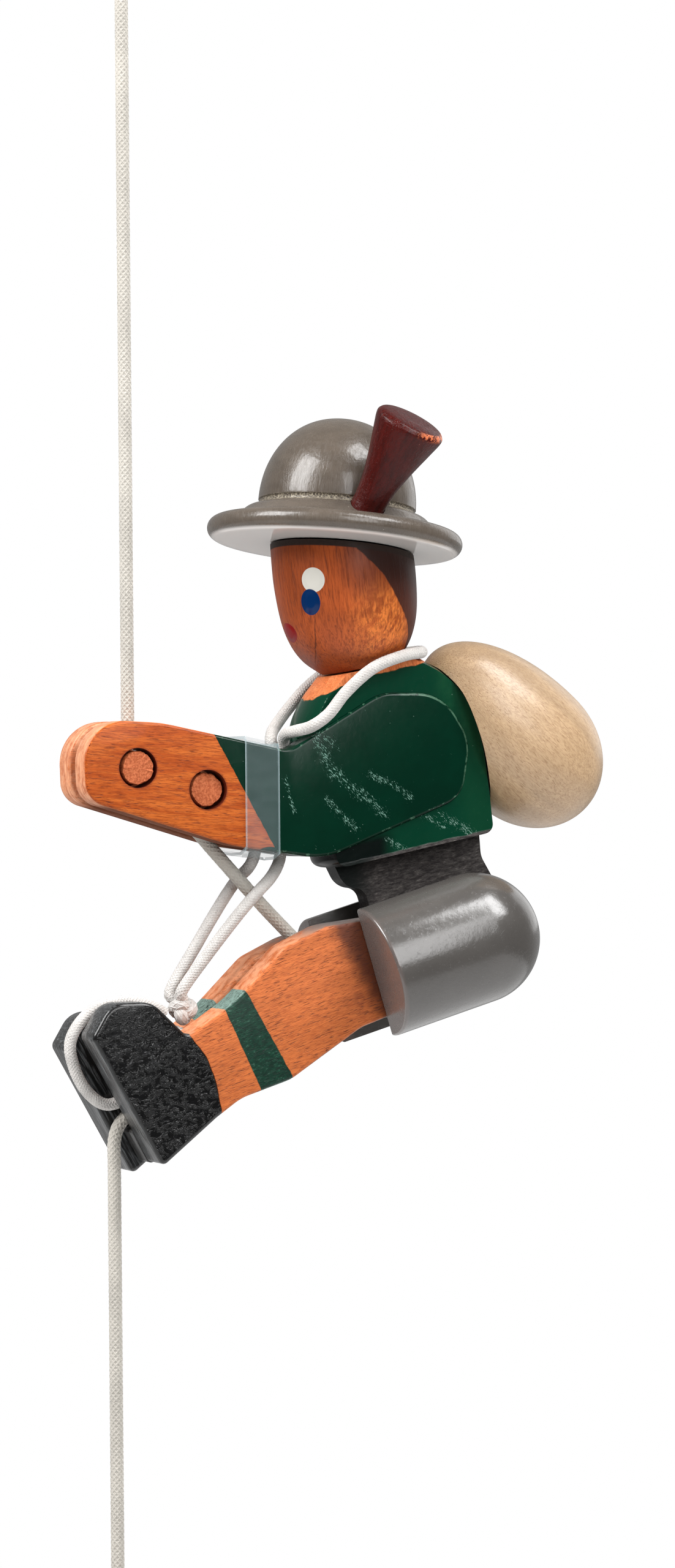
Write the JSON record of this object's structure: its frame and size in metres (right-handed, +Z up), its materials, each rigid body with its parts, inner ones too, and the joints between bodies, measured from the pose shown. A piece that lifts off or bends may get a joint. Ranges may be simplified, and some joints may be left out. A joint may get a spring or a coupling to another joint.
{
  "type": "climbing figure toy",
  "caption": "Wooden climbing figure on a string: turned head, hat, torso and backpack, flat arms and sprung legs that grip and release a string run between the hands and feet",
  "frame": {"origin": "the inside top of the hanging loop, where a hook holds the string", "axes": "+Z up along the string, the figure faces -X, +Y is the side of the figure's right hand away from the viewer"},
  "size_m": [0.1035, 0.0519, 0.3308],
  "materials": {
    "hat": "turned wood, warm grey gloss paint",
    "hat_plume": "turned wood, dark red-brown stain, worn copper at the rim",
    "head": "turned wood, glossy orange-brown stain, painted hair and face",
    "dowel": "plain hardwood dowel",
    "torso": "turned wood, dark green semi-gloss paint, grey tongue",
    "arm": "flat wood, dark green paint, bare orange hands",
    "hand_peg": "orange-stained dowel",
    "arm_band": "clear strap",
    "backpack": "turned light hardwood, clear lacquer",
    "leg": "flat wood, orange stain, black shoe, green sock stripe",
    "trouser": "turned wood, grey paint",
    "spacer": "wood block, black paint",
    "string": "white braided string",
    "elastic": "white covered elastic cord",
    "bead": "turned wood bead, stained"
  },
  "bodies": {
    "line": {"string_loop": "string", "string_loop_knot": "string", "string_upper": "string", "string_tail": "string", "pull_bead": "bead", "bead_knot": "string"},
    "figure": {"torso": "torso", "head": "head", "head_dowel": "dowel", "hat": "hat", "hat_plume": "hat_plume", "arm_left": "arm", "arm_right": "arm", "hand_peg_front": "hand_peg", "hand_peg_rear": "hand_peg", "arm_band": "arm_band", "backpack": "backpack", "backpack_dowel": "dowel", "string_hand_run": "string", "string_leg_run": "string", "string_lead": "string", "elastic_neck_loop": "elastic", "elastic_strand_left": "elastic", "elastic_strand_right": "elastic"},
    "legs": {"leg_left": "leg", "leg_right": "leg", "trouser_left": "trouser", "trouser_right": "trouser", "hip_pin": "dowel", "foot_spacer": "spacer", "toe_peg": "dowel", "knee_peg": "dowel", "string_guide_run": "string", "elastic_knot": "elastic", "elastic_toe_loop": "elastic"}
  },
  "joints": [
    {"name": "climb", "type": "slide", "parent": "line", "child": "figure", "axis": [0, 0, 1], "range_m": [-0.03, 0.1], "deforming": ["string_upper", "string_tail"]},
    {"name": "hip", "type": "hinge", "parent": "figure", "child": "legs", "pos_m": [0.0618, 0, -0.197], "axis": [0, -1, 0], "range_deg": [-10, 42], "stiffness_Nm_per_rad": 0.05, "springref_deg": -6.88, "deforming": ["elastic_strand_left", "elastic_strand_right", "string_leg_run", "string_lead"]}
  ]
}
